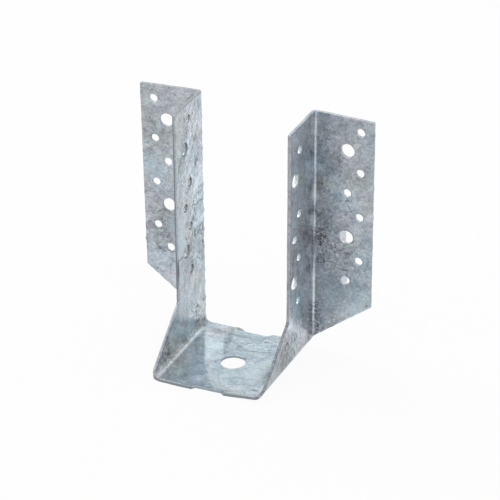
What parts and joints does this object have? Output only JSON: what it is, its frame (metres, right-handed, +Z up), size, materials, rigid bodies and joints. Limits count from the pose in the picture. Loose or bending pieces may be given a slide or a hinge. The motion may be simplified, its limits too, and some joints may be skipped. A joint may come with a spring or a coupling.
{
  "type": "joist hanger",
  "caption": "Folded sheet-steel hanger: a flat seat between upright punched legs that fold outwards at the back into nailing flanges with slanted lower edges.",
  "frame": {"origin": "centre of the footprint, on the plane that the seat rests on", "axes": "+Z up along the legs, +Y from the front of the seat towards the header, +X to the right seen from the front"},
  "size_m": [0.162, 0.0856, 0.169],
  "materials": {
    "galvanised_sheet": "hot-dip galvanised, satin, with streaks, zinc lumps and small pits"
  },
  "bodies": {
    "root": {"hanger": "galvanised_sheet"}
  },
  "joints": []
}
